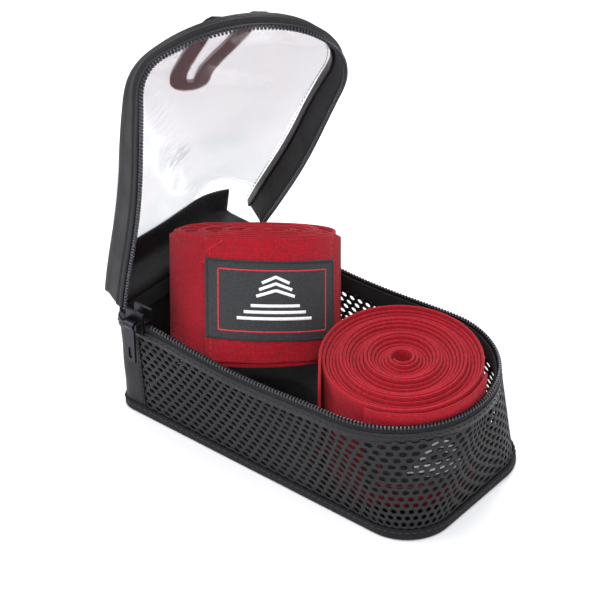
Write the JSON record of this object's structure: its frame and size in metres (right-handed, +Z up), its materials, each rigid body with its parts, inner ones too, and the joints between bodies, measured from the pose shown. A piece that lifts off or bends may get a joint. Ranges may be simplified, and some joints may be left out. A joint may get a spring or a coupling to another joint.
{
  "type": "hand wraps in a zip case",
  "caption": "Rolled elastic boxing hand wraps with hook-tape closures, held in a zipped mesh case whose clear lid folds open.",
  "frame": {"origin": "centre of the case's underside", "axes": "+X from the hinge end towards the round end, +Y across the case away from the slider's side, +Z up"},
  "size_m": [0.147, 0.0859, 0.1727],
  "materials": {
    "case_fabric": "tightly woven black polyester with a low sheen",
    "case_mesh": "open hexagonal knitted polyester mesh",
    "binding": "folded bias binding, smooth",
    "zip_tape": "fine knitted zip tape",
    "zip_teeth": "moulded plastic with a bright edge",
    "zip_metal": "black enamelled metal with worn edges",
    "window": "clear flexible vinyl, lightly wrinkled",
    "webbing": "ribbed webbing",
    "wrap_fabric": "soft knitted cotton with elastic, matte",
    "hook_tape": "hook tape with a woven back",
    "label": "satin woven label with a stitched edge"
  },
  "bodies": {
    "case": {"base_panel": "case_fabric", "bottom_binding": "binding", "mesh_wall_near": "case_mesh", "mesh_wall_far": "case_mesh", "mesh_wall_round": "case_mesh", "hinge_end_panel": "case_fabric", "rim_binding": "binding", "case_zip_tape": "zip_tape", "case_zip_teeth": "zip_teeth", "zip_bottom_stop": "zip_metal", "zip_top_stop": "zip_metal", "hinge_strip": "case_fabric"},
    "lid_near_part": {"lid_near_gusset": "case_fabric", "lid_near_window": "window", "lid_near_binding": "binding", "lid_near_zip_tape": "zip_tape", "lid_near_zip_teeth": "zip_teeth"},
    "lid_far_part": {"lid_far_gusset": "case_fabric", "lid_far_window": "window", "lid_far_binding": "binding", "lid_far_zip_tape": "zip_tape", "lid_far_zip_teeth": "zip_teeth", "loop_anchor": "webbing"},
    "hanging_loop": {"hanging_loop": "webbing"},
    "zip_slider": {"zip_slider": "zip_metal"},
    "zip_pull": {"zip_pull": "zip_metal"},
    "wrap_1": {"wrap_1_coil": "wrap_fabric", "wrap_1_core_loop": "wrap_fabric", "wrap_1_hook_tab": "hook_tape", "wrap_1_label": "label", "wrap_1_outer_turn": "wrap_fabric"},
    "wrap_2": {"wrap_2_coil": "wrap_fabric", "wrap_2_core_loop": "wrap_fabric", "wrap_2_hook_tab": "hook_tape", "wrap_2_label": "label", "wrap_2_outer_turn": "wrap_fabric"}
  },
  "joints": [
    {"name": "lid_hinge", "type": "hinge", "parent": "case", "child": "lid_near_part", "pos_m": [-0.062, 0, 0.045], "axis": [0, -1, 0], "range_deg": [-82, 8]},
    {"name": "lid_crease", "type": "hinge", "parent": "lid_near_part", "child": "lid_far_part", "pos_m": [-0.062, 0.033, 0.045], "axis": [-0.1162, 0.5499, -0.8271], "range_deg": [-41, 4]},
    {"name": "loop_swing", "type": "hinge", "parent": "lid_far_part", "child": "hanging_loop", "pos_m": [-0.03608, -0.00471, 0.17206], "axis": [0.6289, 0.777, 0.0274], "range_deg": [0, 150]},
    {"name": "slider_travel", "type": "slide", "parent": "case", "child": "zip_slider", "axis": [1, 0, 0], "range_m": [0, 0.08]},
    {"name": "pull_swing", "type": "hinge", "parent": "zip_slider", "child": "zip_pull", "pos_m": [-0.0562, -0.0422, 0.045], "axis": [-1, 0, 0], "range_deg": [0, 110]},
    {"name": "wrap_1_tip", "type": "hinge", "parent": "case", "child": "wrap_1", "pos_m": [-0.05828, 0.03387, 0.03217], "axis": [-0.7771, -0.6293, 0], "range_deg": [-27, 2.7]},
    {"name": "wrap_2_lift", "type": "slide", "parent": "case", "child": "wrap_2", "axis": [0, 0, 1], "range_m": [0, 0.09]}
  ],
  "couplings": [
    {"joint": "lid_crease", "follows": "lid_hinge", "ratio": 0.5},
    {"joint": "wrap_1_tip", "follows": "lid_hinge", "ratio": 0.32927}
  ]
}
